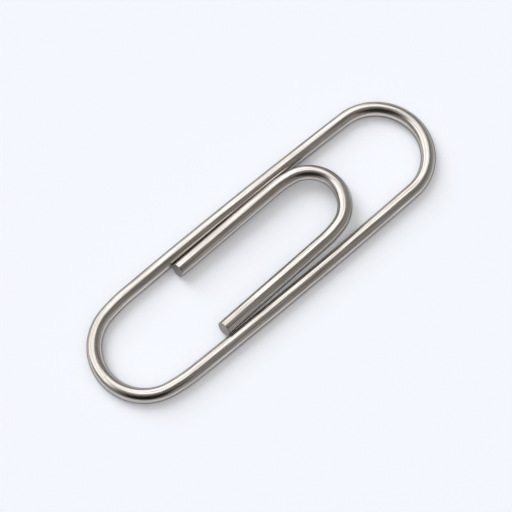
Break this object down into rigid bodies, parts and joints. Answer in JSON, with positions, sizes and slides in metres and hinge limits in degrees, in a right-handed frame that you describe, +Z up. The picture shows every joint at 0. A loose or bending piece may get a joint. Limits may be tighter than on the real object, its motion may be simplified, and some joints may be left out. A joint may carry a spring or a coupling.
{
  "type": "paper clip",
  "caption": "Small paper clip of round plated wire: a closed oval outer loop and a sprung U-shaped inner tongue that lifts to grip sheets.",
  "frame": {"origin": "on the table under the middle of the outer loop", "axes": "+X along the clip to the bend that takes the paper, +Y across the clip to the leg that carries the tongue's root, +Z up from the table"},
  "size_m": [0.028, 0.008, 0.0015],
  "materials": {
    "plated_wire": "satin nickel plate on drawn steel wire, with fine streaks along the wire",
    "weld_metal": "dull grey weld bead"
  },
  "bodies": {
    "loop": {"outer_loop": "plated_wire", "root_weld": "weld_metal"},
    "tongue": {"tongue": "plated_wire"}
  },
  "joints": [
    {"name": "tongue_lift", "type": "hinge", "parent": "loop", "child": "tongue", "pos_m": [-0.0059, 0, 0.00074], "axis": [0, -1, 0], "range_deg": [0, 10], "stiffness_Nm_per_rad": 0.0008}
  ]
}
